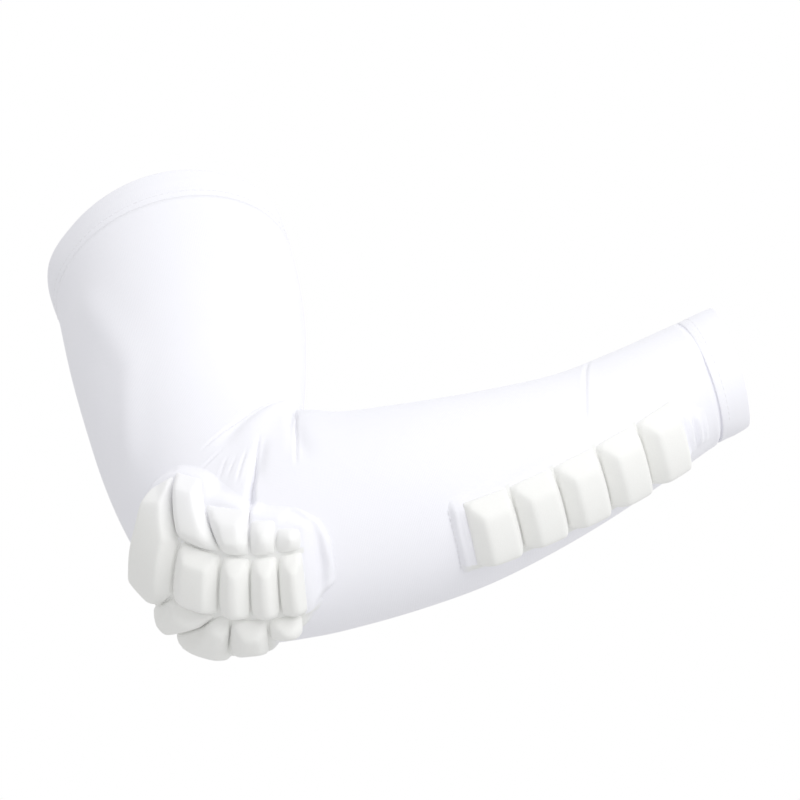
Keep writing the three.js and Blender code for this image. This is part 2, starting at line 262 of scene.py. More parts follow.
def unit(vectors):
    """Vectors brought to length 1."""
    return vectors / np.linalg.norm(vectors, axis=-1, keepdims=True)


def chord_lengths(points):
    """Lengths along a row of points, from the first one."""
    chords = np.linalg.norm(np.diff(points, axis=0), axis=1)
    return np.concatenate([[0], np.cumsum(chords)])


# Where the knit lies, by station along the back line and angle round the sleeve
section_rows = np.array(SECTIONS)
section_stations = chord_lengths(section_rows[:, :2])
section_track = Track(section_stations, section_rows)
WRIST_STATION = section_stations[-1]
CUFF_STATION = WRIST_STATION - WRIST_CUFF_LENGTH
STATION_STEP = 0.5
ANGLE_STEP = 0.01


def ovals(station):
    """The sleeve's oval at stations: its centre, the vector to its back point and its half width."""
    back_x, back_z, front_x, front_z, half_width = np.moveaxis(section_track.at(station), -1, 0)
    back = np.stack([back_x, np.zeros_like(back_x), back_z], -1)
    front = np.stack([front_x, np.zeros_like(back_x), front_z], -1)
    return (back + front) / 2, (back - front) / 2, half_width


def mean_radius(station):
    """The mean of the oval's half depth and half width at stations."""
    back, half_width = ovals(station)[1:]
    return (np.linalg.norm(back, axis=-1) + half_width) / 2


def turn_and_side(angle):
    """Degrees from the back line, and the side: 1 outer, -1 inner."""
    turn = np.degrees(np.abs(np.arctan2(np.sin(angle), np.cos(angle))))
    return turn, np.where(np.sin(angle) < 0, -1, 1)


def fold_height(station, angle):
    """How far the main folds push the knit out."""
    turn, side = turn_and_side(angle)
    height = np.zeros(np.shape(turn))
    for fold in FOLDS:
        middle = fold.station + fold.lean * (turn - 90)
        across = np.exp(-(((station - middle) / fold.half_width) ** 2))
        begin = smoothstep(turn, fold.start, fold.start + fold.fade)
        end = 1 - smoothstep(turn, fold.end - fold.fade, fold.end)
        height = height + np.isin(side, fold.sides) * fold.height * across * begin * end
    return height


def line_height(dx, dy, run_x, run_y, half_width, height, puff=0.0):
    """Height of a crease or ridge along a straight run, at offsets from the run's start."""
    length = np.hypot(run_x, run_y)
    along = (dx * run_x + dy * run_y) / length
    off = (dx * run_y - dy * run_x) / length
    fade = LINE_FADE + half_width
    ends = smoothstep(along, -fade, fade) * (1 - smoothstep(along, length - fade, length + fade))
    crease = height * np.exp(-((off / half_width) ** 2))
    lip = puff * np.exp(-((off / (PUFF_SPREAD * half_width)) ** 2))
    return (crease + lip) * ends


def wrinkle_height(station, angle):
    """How far the fine wrinkles push the knit out."""
    turn, side = turn_and_side(angle)
    per_degree = np.radians(mean_radius(station))
    height = np.zeros(np.shape(turn))
    for line in WRINKLES:
        dx = station - line.station
        dy = (turn - line.turn) * per_degree
        run_x = line.end_station - line.station
        run_y = (line.end_turn - line.turn) * per_degree
        rise = line_height(dx, dy, run_x, run_y, line.half_width, line.height, line.puff)
        height = height + np.isin(side, line.sides) * rise
    return height


def knit_point(station, angle, lift=0.0):
    """Points of the knit's outer face, moved out from the oval's centre by a lift."""
    station, angle = np.broadcast_arrays(np.asarray(station, float), np.asarray(angle, float))
    centre, back, half_width = ovals(station)
    spoke = back * np.cos(angle)[..., None]
    spoke[..., 1] = -half_width * np.sin(angle)
    push = 1 + (lift + fold_height(station, angle)) / np.linalg.norm(spoke, axis=-1)
    return centre + spoke * push[..., None]


def knit_normal(station, angle):
    """The knit's outward normals."""
    along = knit_point(station + STATION_STEP, angle) - knit_point(station - STATION_STEP, angle)
    round_it = knit_point(station, angle + ANGLE_STEP) - knit_point(station, angle - ANGLE_STEP)
    return unit(np.cross(along, round_it))


# The flat pattern of the panels and pads, laid along a line of the knit
CENTRE_LINE_STEPS = 200
centre_stations = np.linspace(0, WRIST_STATION, CENTRE_LINE_STEPS + 1)
centre_lengths = chord_lengths(knit_point(centre_stations, PAD_ANGLE))
TIP_LENGTH = np.interp(ELBOW_TIP_STATION, centre_stations, centre_lengths)


def pattern_place(along, across):
    """Station and angle of points of the flat pattern, along the sleeve from the elbow's tip and across."""
    station = np.interp(TIP_LENGTH + along, centre_lengths, centre_stations)
    return station, PAD_ANGLE + across / mean_radius(station)


def wrap(along, across, lift):
    """Wraps points of the flat pattern over the knit, lifted square to it."""
    station, angle = pattern_place(along, across)
    return knit_point(station, angle) + knit_normal(station, angle) * np.asarray(lift)[..., None]


# Work on pieces
MERGE_DISTANCE = 0.01 * MM


def pick(piece):
    """Selects one piece alone and makes it the active one."""
    bpy.ops.object.select_all(action="DESELECT")
    piece.select_set(True)
    bpy.context.view_layer.objects.active = piece


def edit(piece, *steps):
    """Runs edit-mode steps on all of a piece."""
    pick(piece)
    bpy.ops.object.mode_set(mode="EDIT")
    bpy.ops.mesh.select_all(action="SELECT")
    for step in steps:
        step()
    bpy.ops.object.mode_set(mode="OBJECT")


def apply_modifier(piece, kind, **settings):
    pick(piece)
    modifier = piece.modifiers.new(kind.title(), kind)
    for name, value in settings.items():
        setattr(modifier, name, value)
    bpy.ops.object.modifier_apply(modifier=modifier.name)


def take_new(name):
    """The piece that was just added, named, with its place moved into its vertices."""
    bpy.ops.object.transform_apply(location=True, rotation=False, scale=False)
    piece = bpy.context.object
    piece.name = name
    piece.data.name = name
    return piece


def vertex_places(piece):
    places = np.empty(3 * len(piece.data.vertices))
    piece.data.vertices.foreach_get("co", places)
    return places.reshape(-1, 3)


def place_vertices(piece, places):
    piece.data.vertices.foreach_set("co", np.ravel(places))
    piece.data.update()


def mark(piece, attribute, values):
    """Gives each vertex of a piece a value that its material reads."""
    piece.data.attributes.new(attribute, "FLOAT", "POINT").data.foreach_set("value", values)


def cloth_grid(name, columns, rows):
    """A flat cloth of grid squares with x and y from 0 to 1 and its own UV map."""
    middle = (0.5, 0.5, 0)
    bpy.ops.mesh.primitive_grid_add(x_subdivisions=columns, y_subdivisions=rows, size=1, location=middle)
    return take_new(name)


def close_seam():
    bpy.ops.mesh.remove_doubles(threshold=MERGE_DISTANCE)


def face_out():
    """Turns the faces of a closed form outwards."""
    bpy.ops.mesh.normals_make_consistent(inside=False)


def turn_over():
    """Turns an open sheet over: a grid that is laid round and then along has its faces inwards."""
    bpy.ops.mesh.flip_normals()


def finish_piece(piece, material, node=None):
    """Smooths a piece, gives it its material and hangs it on the sleeve's body."""
    pick(piece)
    bpy.ops.object.shade_smooth()
    piece.data.materials.clear()
    piece.data.materials.append(material)
    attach(piece, "root")
    if node:
        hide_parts(node)


# Shader maths
class Shade:
    """A value in a node tree. Arithmetic on it adds Math nodes."""

    def __init__(self, tree, output=None):
        self.tree = tree
        self.output = output

    def node(self, kind, settings=None, inputs=None, output=0):
        """Adds a node: its settings first, then the values or links of its sockets."""
        node = self.tree.nodes.new(kind)
        for name, value in (settings or {}).items():
            setattr(node, name, value)
        for name, value in (inputs or {}).items():
            if isinstance(value, Shade):
                self.tree.links.new(value.output, node.inputs[name])
            else:
                node.inputs[name].default_value = value
        return Shade(self.tree, node.outputs[output] if node.outputs else None)

    def math(self, operation, first, second=0.0):
        return self.node("ShaderNodeMath", {"operation": operation}, {0: first, 1: second})

    def __add__(self, other):
        return self.math("ADD", self, other)

    def __radd__(self, other):
        return self.math("ADD", other, self)

    def __sub__(self, other):
        return self.math("SUBTRACT", self, other)

    def __rsub__(self, other):
        return self.math("SUBTRACT", other, self)

    def __mul__(self, other):
        return self.math("MULTIPLY", self, other)

    def fraction(self):
        return self.math("FRACT", self)

    def absolute(self):
        return self.math("ABSOLUTE", self)

    def wave(self):
        """A sine that goes between 0 and 1 and repeats with each whole number."""
        return self.math("SINE", self * (2 * math.pi)) * 0.5 + 0.5

    def mix(self, factor, first, second):
        """Mixes two colours."""
        settings = {"data_type": "RGBA"}
        return self.node("ShaderNodeMix", settings, {0: factor, 6: first, 7: second}, output=2)

    def place(self):
        """Places in the piece's own space."""
        return self.node("ShaderNodeTexCoord", output=3)

    def noise(self, place, scale, detail):
        return self.node("ShaderNodeTexNoise", None, {"Vector": place, "Scale": scale, "Detail": detail})

    def bump(self, strength, distance, height):
        inputs = {"Strength": strength, "Distance": distance, "Height": height}
        return self.node("ShaderNodeBump", None, inputs)


def new_material(name):
    material = bpy.data.materials.new(name)
    material.use_nodes = True
    material.node_tree.nodes.clear()
    return material, Shade(material.node_tree)


def surface(tree, **inputs):
    """Ends a material in a Principled shader; names use _ for the spaces in the socket's name."""
    sockets = {name.replace("_", " "): value for name, value in inputs.items()}
    shader = tree.node("ShaderNodeBsdfPrincipled", None, sockets)
    tree.node("ShaderNodeOutputMaterial", None, {"Surface": shader})


# Looks of the cloths: two shades, and how a pattern, a mottle and fuzz shade, raise and roughen them
Look = namedtuple(
    "Look",
    "white shade mottle_scale mottle_detail fuzz_scale pattern_shading mottle_shading"
    " pattern_relief fuzz_relief bump_strength bump roughness mottle_roughness sheen",
)
# The pads' darker tone: their own mottle and grain, and the painted shade that the panels take between and
# round the pads
PAD_TONE_AND_PAINTED_SHADE = (0.85, 0.855, 0.835, 1)
JERSEY_LOOK = Look(
    white=(0.925, 0.925, 0.97, 1),
    shade=(0.87, 0.873, 0.93, 1),
    mottle_scale=38.0,
    mottle_detail=3.0,
    fuzz_scale=2600.0,
    pattern_shading=0.35,
    mottle_shading=0.45,
    pattern_relief=0.8,
    fuzz_relief=0.35,
    bump_strength=0.35,
    bump=0.12 * MM,
    roughness=0.74,
    mottle_roughness=0.14,
    sheen=0.18,
)
PAD_LOOK = Look(
    white=(0.915, 0.915, 0.90, 1),
    shade=PAD_TONE_AND_PAINTED_SHADE,
    mottle_scale=55.0,
    mottle_detail=4.0,
    fuzz_scale=3200.0,
    pattern_shading=0.25,
    mottle_shading=0.6,
    pattern_relief=0.7,
    fuzz_relief=0.5,
    bump_strength=0.3,
    bump=0.1 * MM,
    roughness=0.62,
    mottle_roughness=0.16,
    sheen=0.12,
)
FUZZ_DETAIL = 1.0
SHEEN_ROUGHNESS = 0.5
GRAIN_SCALE = 1500.0
LEG_RISE = 1.1
LEG_SHARE = 0.6
RIB_PHASE = 0.25

# Colours that an attribute lays over a cloth: the pads' darker tone as painted shade on the panels, and a
# whiter colour towards the pads' outer side
Over = namedtuple("Over", "attribute colour")
# Painted shade: the pads' darker tone laid on the panels' cloth in the valleys between pads and round the
# inner pads
PAD_BED_PAINTED_SHADE = Over("bed", PAD_TONE_AND_PAINTED_SHADE)
PAD_OUTER_WHITE = Over("outer_white", (0.925, 0.925, 0.945, 1))


def cloth_surface(tree, look, pattern, dark, over=None):
    """Ends a cloth's material, with a pattern that raises it and a dark value that shades it."""
    place = tree.place()
    mottle = tree.noise(place, look.mottle_scale, look.mottle_detail)
    fuzz = tree.noise(place, look.fuzz_scale, FUZZ_DETAIL)
    shading = dark * look.pattern_shading + mottle * look.mottle_shading
    colour = tree.mix(shading, look.white, look.shade)
    # A colour laid on by an attribute: painted shade on the panels, and a whiter colour towards the pads'
    # outer side
    if over:
        share = tree.node("ShaderNodeAttribute", {"attribute_name": over.attribute}, output=2)
        colour = tree.mix(share, colour, over.colour)
    height = pattern * look.pattern_relief + fuzz * look.fuzz_relief
    surface(
        tree,
        Base_Color=colour,
        Roughness=look.roughness + mottle * look.mottle_roughness,
        Normal=tree.bump(look.bump_strength, look.bump, height),
        Sheen_Weight=look.sheen,
        Sheen_Roughness=SHEEN_ROUGHNESS,
    )


def jersey(name, wales, courses, over=None):
    """White stretch jersey: columns of V-shaped loops on its own UV map."""
    material, tree = new_material(name)
    uv = tree.node("ShaderNodeUVMap", {"uv_map": "UVMap"})
    scaled = tree.node("ShaderNodeMapping", None, {"Vector": uv, "Scale": (wales, courses, 1)})
    u, v = (tree.node("ShaderNodeSeparateXYZ", None, {0: scaled}, output=axis) for axis in (0, 1))
    off_middle = (u.fraction() - 0.5).absolute()
    leg = (v + off_middle * LEG_RISE).wave()
    rib = (RIB_PHASE - off_middle).wave()
    loops = leg * LEG_SHARE + rib * (1 - LEG_SHARE)
    cloth_surface(tree, JERSEY_LOOK, loops, 1 - loops, over)
    return material


def outer_white_share(across):
    """How far the pads are made whiter, rising to their outer ends."""
    return smoothstep(across, OUTER_WHITE_START, OUTER_WHITE_END)


def pad_cloth():
    """Off-white brushed cloth bonded over the moulded foam, whiter towards the pads' outer ends."""
    material, tree = new_material("pad_cloth")
    grain = tree.node("ShaderNodeTexVoronoi", None, {"Vector": tree.place(), "Scale": GRAIN_SCALE})
    cloth_surface(tree, PAD_LOOK, grain, grain, PAD_OUTER_WHITE)
    return material


THREAD_WHITE = (0.88, 0.88, 0.90, 1)
THREAD_SHADE = (0.82, 0.82, 0.85, 1)
THREAD_ROUGHNESS = 0.55
PLY_SCALE = 900.0
PLY_SHADING = 0.5
PLY_BUMP = 0.05 * MM
PLY_BUMP_STRENGTH = 0.3


def thread():
    """White polyester thread, with the lay of its plies."""
    material, tree = new_material("thread")
    inputs = {"Vector": tree.place(), "Scale": PLY_SCALE}
    plies = tree.node("ShaderNodeTexWave", {"bands_direction": "DIAGONAL"}, inputs)
    height = tree.node("ShaderNodeSeparateColor", None, {0: plies})
    colour = tree.mix(height * PLY_SHADING, THREAD_WHITE, THREAD_SHADE)
    bump = tree.bump(PLY_BUMP_STRENGTH, PLY_BUMP, height)
    surface(tree, Base_Color=colour, Normal=bump, Roughness=THREAD_ROUGHNESS)
    return material


# The knit tube, with closer rows and columns at its folds and creases
Run = namedtuple("Run", "end count")
TUBE_ROWS = [
    Run(110, 30),
    Run(176, 26),
    Run(256, 100),
    Run(300, 24),
    Run(388, 30),
    Run(414, 38),
    Run(446, 11),
    Run(CUFF_STATION + SEAM_LAP, 12),
]
TUBE_COLUMNS = [Run(40, 36), Run(150, 104), Run(270, 34)]
SEAM_DEGREES = -90.0


def grid_lines(start, runs):
    """Places of grid lines: each run brings its number of even steps up to its end."""
    lines = [np.array([start])]
    for run in runs:
        lines.append(np.linspace(lines[-1][-1], run.end, run.count + 1)[1:])
    return np.concatenate(lines)


def lay_uv(piece, u, v):
    """Lays a piece's UV map by a value for each vertex."""
    corner_vertices = np.empty(len(piece.data.loops), int)
    piece.data.loops.foreach_get("vertex_index", corner_vertices)
    corners = np.stack([u, v], -1)[corner_vertices]
    piece.data.uv_layers["UVMap"].data.foreach_set("uv", corners.ravel())


def knit_tube():
    """The sleeve's tube, open at both ends, with its seam on the inner side."""
    stations = grid_lines(MOUTH_HEM_LENGTH - SEAM_LAP, TUBE_ROWS)
    turns = grid_lines(SEAM_DEGREES, TUBE_COLUMNS)
    tube = cloth_grid("knit_sleeve", len(turns) - 1, len(stations) - 1)
    flat = vertex_places(tube)
    degrees = np.interp(flat[:, 0], np.linspace(0, 1, len(turns)), turns)
    station = np.interp(flat[:, 1], np.linspace(0, 1, len(stations)), stations)
    lay_uv(tube, (degrees - SEAM_DEGREES) / 360, station / WRIST_STATION)
    angle = np.radians(degrees)
    place_vertices(tube, knit_point(station, angle, wrinkle_height(station, angle)) * MM)
    edit(tube, close_seam, turn_over)
    apply_modifier(tube, "SOLIDIFY", thickness=KNIT_WALL * MM, offset=-1)
    wales = round(2 * math.pi * SECTIONS[0].half_width / KNIT_PITCH)
    courses = round(WRIST_STATION / KNIT_PITCH)
    finish_piece(tube, jersey("knit_jersey", wales, courses), "knit_tube")


# The hems: from the rim to the seam, with a row of stitches at an inset from the rim
HEM_COLUMNS = 180
HEM_ROWS = 56
HEM_SQUARENESS = 9.0
HEM_TAPER = 7.0
HEM_WAVE_SHARE = 0.3
STITCH_GROOVE = 0.12
Flare = namedtuple("Flare", "height angle spread")
Hem = namedtuple("Hem", "name node rim seam cut stitch_inset wave wave_count flares")
MOUTH_HEM = Hem(
    name="mouth_hem_band",
    node="mouth_hem",
    rim=0.0,
    seam=MOUTH_HEM_LENGTH,
    cut=(0.285, 0.018),
    stitch_inset=13.6,
    wave=0.25,
    wave_count=5,
    flares=[],
)
WRIST_CUFF = Hem(
    name="wrist_cuff_band",
    node="wrist_cuff",
    rim=WRIST_STATION,
    seam=CUFF_STATION,
    cut=(0.150, 0.014),
    stitch_inset=10.4,
    wave=0.35,
    wave_count=4,
    flares=[Flare(1.8, -0.35, 0.35)],
)


def hem_length(hem):
    return abs(hem.seam - hem.rim)


def hem_station(hem, inset):
    """Stations at distances from a hem's rim."""
    return hem.rim + np.sign(hem.seam - hem.rim) * inset


def hem_face(hem, angle, inset):
    """How far a hem's outer face stands out, at a distance from its rim: flush at the seam."""
    wave = hem.wave * np.sin(hem.wave_count * angle)
    for flare in hem.flares:
        wave = wave + flare.height * np.exp(-(((angle - flare.angle) / flare.spread) ** 2))
    length = hem_length(hem)
    proud = HEM_PROUD * smoothstep(inset, length, length - HEM_TAPER)
    return SEAM_PROUD + proud + wave * smoothstep(inset, length, HEM_WAVE_SHARE * length)


def squared(wave):
    """Brings a sine or cosine closer to a square wave, for a section with rounded corners."""
    return np.sign(wave) * np.abs(wave) ** (2 / HEM_SQUARENESS)


def hem_band(hem):
    """A folded hem: a closed band with a rounded rim."""
    band = cloth_grid(hem.name, HEM_COLUMNS, HEM_ROWS)
    flat = vertex_places(band)
    angle = math.radians(SEAM_DEGREES) + 2 * math.pi * flat[:, 0]
    loop = 2 * math.pi * flat[:, 1]
    out = squared(np.sin(loop))
    inset = (1 - squared(np.cos(loop))) / 2 * hem_length(hem)
    groove = STITCH_GROOVE * np.exp(-((inset - hem.stitch_inset) ** 2))
    lift = hem_face(hem, angle, inset) - HEM_WALL / 2 + out * HEM_WALL / 2
    lift = lift - np.maximum(out, 0) * groove
    place_vertices(band, knit_point(hem_station(hem, inset), angle, lift) * MM)
    edit(band, close_seam, face_out)
    wales = round(hem.cut[0] / (KNIT_PITCH * MM))
    courses = round(2 * hem.cut[1] / (KNIT_PITCH * MM))
    finish_piece(band, jersey(hem.name + "_jersey", wales, courses), hem.node)


# The panels
PANEL_STEP = 0.8
OUTLINE_POINTS = 48


def edge_distance(along, across, loop):
    """Distance of points from a closed loop of the flat pattern."""
    points = np.stack([along, across], -1)
    nearest = np.full(len(points), np.inf)
    for start, end in zip(loop, np.roll(loop, -1, axis=0)):
        run = end - start
        share = np.clip((points - start) @ run / (run @ run), 0, 1)
        off = np.linalg.norm(points - start - share[:, None] * run, axis=1)
        nearest = np.minimum(nearest, off)
    return nearest


def beside_pads(along, across, plans):
    """How far points of the pattern lie outside each pad."""
    points = np.stack([along, across], -1)
    distances = []
    for plan in plans:
        shares = [(0, 0), (0, 1), (1, 1), *((1, share) for share in reversed(plan.cuts)), (1, 0)]
        corners = np.array([plan.place(*pair) for pair in shares], float)
        outside = np.full(len(points), -np.inf)
        for start, end in zip(corners, np.roll(corners, -1, axis=0)):
            run = unit(end - start)
            normal = np.array([run[1], -run[0]])
            facing = np.sign(normal @ (start - corners.mean(axis=0)))
            outside = np.maximum(outside, facing * ((points - start) @ normal))
        distances.append(outside)
    return np.array(distances)


def crease_height(along, across, inset, creases):
    """How far creases and ridges push a panel's cloth out, fading at its edge."""
    height = np.zeros_like(along)
    for row in creases:
        dx = along - row.along
        dy = across - row.across
        run_x = row.end_along - row.along
        run_y = row.end_across - row.across
        rise = line_height(dx, dy, run_x, run_y, row.half_width, row.height)
        height = height + rise * smoothstep(inset, 0, row.half_width)
    return height


def bed_painted_shade(across, nearest, second):
    """Painted shade on a panel, in the pads' darker tone: in the valleys between them and round the inner
    ones.
    """
    valley = 1 - smoothstep(second, VALLEY_REACH, VALLEY_END)
    valley = valley * (1 - smoothstep(nearest, VALLEY_START, VALLEY_REACH))
    # Round the inner pads, on the lower side: partly the pads' base cloth, partly painted shade
    under = (1 - smoothstep(nearest, 0, PAD_BASE_AND_SHADE_FADE)) * (across < -CENTRE_ROW_HALF)
    return np.maximum(valley * (1 - outer_white_share(across)), under)


def panel(name, node, outline, creases, plans):
    """A cloth panel over an outline of the pattern, which rises to a bed under its pads."""
    places = [row.along for row in outline]
    edges = Track(places, [(-row.inner, row.outer) for row in outline])
    length = places[-1] - places[0]
    line = np.linspace(places[0], places[-1], OUTLINE_POINTS)
    low, high = edges.at(line).T
    widths = high - low
    width = float(widths.max())
    piece = cloth_grid(name, round(width / PANEL_STEP), round(length / PANEL_STEP))
    flat = vertex_places(piece)
    along = places[0] + flat[:, 1] * length
    across = lerp(*edges.at(along).T, flat[:, 0])
    loop = np.vstack([np.stack([line, low], -1), np.stack([line, high], -1)[::-1]])
    inset = edge_distance(along, across, loop)
    inward = smoothstep(inset, 0, PANEL_BORDER)
    nearest, second = np.sort(beside_pads(along, across, plans), axis=0)[:2]
    bed = (1 - smoothstep(nearest, PAD_BED_START, PAD_BED_REACH)) * inward
    lift = lerp(PANEL_EDGE_LIFT, PANEL_LIFT, inward) + (plans[0].kind.bed - PANEL_LIFT) * bed
    lift = lift + wrinkle_height(*pattern_place(along, across))
    lift = lift + crease_height(along, across, inset, creases)
    place_vertices(piece, wrap(along, across, lift) * MM)
    # Painted shade: where the panel takes the pads' darker tone
    mark(piece, PAD_BED_PAINTED_SHADE.attribute, bed_painted_shade(across, nearest, second))
    edit(piece, turn_over)
    apply_modifier(piece, "SOLIDIFY", thickness=PANEL_CLOTH * MM, offset=-1)
    wales = round(width / KNIT_PITCH)
    courses = round(length / KNIT_PITCH)
    finish_piece(piece, jersey(name + "_jersey", wales, courses, PAD_BED_PAINTED_SHADE), node)
    length * MM


# The pads
PAD_VOXEL = 0.9
PAD_SMOOTHING = 8
PUFF_FRAMES = 12
PUFF_PRESSURE = 1.0
PUFF_LIMIT = 0.8
TOP_PAD_BLEND = 0.03
HAIR = 0.001
PadPlan = namedtuple("PadPlan", "name node kind place cuts")


def pad_plan(region, tail, kind, place, cuts=()):
    """A pad's plan, with its own name and that of the node it replaces."""
    return PadPlan(f"{region}_foam_{tail}", f"{region}_pad_{tail}", kind, place, cuts)


def seam_at(seam, across):
    """Where a seam lies along the sleeve, at a distance across to the outer or inner side."""
    beside = np.abs(across) - CENTRE_ROW_HALF
    outer = seam.outer + seam.outer_slope * beside
    inner = seam.inner + seam.inner_slope * beside
    return np.where(beside <= 0, seam.centre, np.where(across > 0, outer, inner))


def quad_place(near_low, near_high, far_low, far_high):
    """Places over four corners of the pattern, for shares of a pad's length and width."""
    def place(p, q):
        near = [lerp(low, high, q) for low, high in zip(near_low, near_high)]
        far = [lerp(low, high, q) for low, high in zip(far_low, far_high)]
        return [lerp(start, end, p) for start, end in zip(near, far)]
    return place


def between_seams(near_seam, far_seam, near_span, far_span):
    """Places over a pad between two seams, with what it spans across at each of them."""
    inset = PAD_GAP / 2
    near = [(float(seam_at(near_seam, across)) + inset, across) for across in near_span]
    far = [(float(seam_at(far_seam, across)) - inset, across) for across in far_span]
    return quad_place(*near, *far)


def top_place(p, q):
    """Places over the pad above the elbow's tip, whose far edge follows the first seam."""
    across = lerp(-TOP_PAD.inner_far, TOP_PAD.outer_far, q)
    far = seam_at(ELBOW_SEAMS[0], across) - PAD_GAP / 2
    return lerp(TOP_PAD.near, far, p), lerp(lerp(-TOP_PAD.inner_near, TOP_PAD.outer_near, q), across, p)


def elbow_plans():
    """The pad above the tip, then a centre pad and one on either side between each pair of seams."""
    width = TOP_PAD.inner_far + TOP_PAD.outer_far
    kinks = [(TOP_PAD.inner_far + side * CENTRE_ROW_HALF) / width for side in (-1, 1)]
    cuts = [kink + step * TOP_PAD_BLEND for kink in kinks for step in (-1, 1)]
    plans = [pad_plan("elbow", "top", TOP_KIND, top_place, cuts)]
    row = CENTRE_ROW_HALF - PAD_GAP / 2
    side = CENTRE_ROW_HALF + PAD_GAP / 2
    for k, reach in enumerate(SIDE_PADS):
        rows = [
            ("centre", CENTRE_KIND, (-row, row), (-row, row)),
            ("outer", OUTER_KIND, (side, reach.outer_near), (side, reach.outer_far)),
            ("inner", INNER_KIND, (-reach.inner_near, -side), (-reach.inner_far, -side)),
        ]
        for name, kind, near_span, far_span in rows:
            place = between_seams(ELBOW_SEAMS[k], ELBOW_SEAMS[k + 1], near_span, far_span)
            plans.append(pad_plan("elbow", f"{name}_{k + 1}", kind, place))
    return plans


def forearm_plans():
    """The strip of pads along the forearm."""
    plans = []
    half = FOREARM_STRIP.half
    for k in range(FOREARM_STRIP.count):
        near = FOREARM_STRIP.first + k * FOREARM_STRIP.pitch + PAD_GAP / 2
        far = near + FOREARM_STRIP.pitch - PAD_GAP
        place = quad_place((near, -half), (near, half), (far, -half), (far, half))
        plans.append(pad_plan("forearm", k + 1, FOREARM_KIND, place))
    return plans


def cut(block, axis, share):
    """Cuts a unit block square to X (axis 0) or Y (axis 1) at a share of its side."""
    point = [0, 0, 0]
    normal = [0, 0, 0]
    point[axis] = share
    normal[axis] = 1
    edit(block, lambda: bpy.ops.mesh.bisect(plane_co=point, plane_no=normal))


def between(share, start, end):
    """Whether shares lie between two cuts or on one of them."""
    return (share > start - HAIR) & (share < end + HAIR)


def pad_block(plan):
    """A chamfered block of foam with soft edges in the flat pattern, in millimetres."""
    kind = plan.kind
    middles = [(0, 0.5), (1, 0.5), (0.5, 0), (0.5, 1)]
    near, far, low, high = (np.array(plan.place(*pair)) for pair in middles)
    length = np.linalg.norm(far - near)
    width = np.linalg.norm(high - low)
    start = min(kind.near_chamfer / length, NEAR_SHARE)
    end = 1 - min(kind.far_chamfer / length, FAR_SHARE)
    inner = min(kind.inner_chamfer / width, END_SHARE)
    outer = 1 - min(kind.outer_chamfer / width, END_SHARE)
    bpy.ops.mesh.primitive_cube_add(size=1, location=(0.5, 0.5, 0.5))
    block = take_new(plan.name)
    for share in (start, end):
        cut(block, 0, share)
    for share in (inner, outer, *plan.cuts):
        cut(block, 1, share)
    p, q, layer = vertex_places(block).T
    upper = layer > 0.5
    on_top = between(p, start, end) & between(q, inner, outer) & upper
    place_vertices(block, np.stack([p, q, layer + on_top], -1))
    edit(block, lambda: bpy.ops.mesh.quads_convert_to_tris(quad_method="LONGEST_DIAGONAL"))
    along, across = plan.place(p, q)
    rise = np.where(on_top, kind.top - kind.bed, np.where(upper, PAD_RIM, -PAD_SEAT))
    place_vertices(block, np.stack([along, across, kind.bed + rise], -1))
    edit(block, face_out)
    apply_modifier(block, "REMESH", mode="VOXEL", voxel_size=PAD_VOXEL)
    apply_modifier(block, "SMOOTH", factor=0.5, iterations=PAD_SMOOTHING)
    return block


def puff(blocks, plans):
    """Presses the pads' cloth out with the foam in a short cloth simulation, held below the bed."""
    rests = [vertex_places(block) for block in blocks]
    for block, rest, plan in zip(blocks, rests, plans):
        held = block.vertex_groups.new(name="held")
        held.add(np.flatnonzero(rest[:, 2] < plan.kind.bed).tolist(), 1.0, "REPLACE")
        cloth = block.modifiers.new("Puff", "CLOTH").settings
        cloth.vertex_group_mass = held.name
        cloth.use_pressure = True
        cloth.uniform_pressure_force = PUFF_PRESSURE
        cloth.effector_weights.gravity = 0
    for number in range(1, PUFF_FRAMES + 1):
        bpy.context.scene.frame_set(number)
    for block, rest in zip(blocks, rests):
        pick(block)
        bpy.ops.object.modifier_apply(modifier="Puff")
        move = vertex_places(block) - rest
        far = np.linalg.norm(move, axis=1, keepdims=True)
        place_vertices(block, rest + move * (PUFF_LIMIT / np.maximum(far, PUFF_LIMIT)))
    bpy.context.scene.frame_set(1)


def foam_pads(plans, material):
    """The pads, pressed out in the flat pattern and then wrapped over the knit."""
    blocks = [pad_block(plan) for plan in plans]
    puff(blocks, plans)
    for plan, block in zip(plans, blocks):
        along, across, lift = vertex_places(block).T
        mark(block, PAD_OUTER_WHITE.attribute, outer_white_share(across))
        place_vertices(block, wrap(along, across, lift) * MM)
        edit(block, face_out)
        apply_modifier(block, "SUBSURF", levels=1, render_levels=1)
        finish_piece(block, material, plan.node)


# The stitches
STITCH_LENGTH = 2.3
STITCH_GAP = 0.7
STITCH_RADIUS = 0.14
STITCH_SIDES = 6
STITCH_RINGS = 5
STITCH_ROUNDING = 0.5
HEM_STITCH_POINTS = 361
TAB_STITCH_POINTS = 40
TabStitches = namedtuple("TabStitches", "along low high lift")
TAB_STITCHES = TabStitches(117.6, -16.5, 13.0, 0.35)


def one_stitch():
    """Vertices and faces of one stitch along X, with its length from -0.5 to 0.5 and radius 1."""
    places = [(-0.5, 0, 0)]
    for ring in range(1, STITCH_RINGS + 1):
        turn = math.pi * ring / (STITCH_RINGS + 1)
        radius = math.sin(turn) ** STITCH_ROUNDING
        for side in range(STITCH_SIDES):
            round_it = 2 * math.pi * side / STITCH_SIDES
            places.append((-0.5 * math.cos(turn), radius * math.cos(round_it), radius * math.sin(round_it)))
    places.append((0.5, 0, 0))
    last = len(places) - 1
    last_ring = last - STITCH_SIDES
    faces = []
    for side in range(STITCH_SIDES):
        after = (side + 1) % STITCH_SIDES
        faces.append((0, 1 + after, 1 + side))
        for low in range(1, last_ring, STITCH_SIDES):
            high = low + STITCH_SIDES
            faces.append((low + side, low + after, high + after, high + side))
        faces.append((last, last_ring + side, last_ring + after))
    return np.array(places), faces


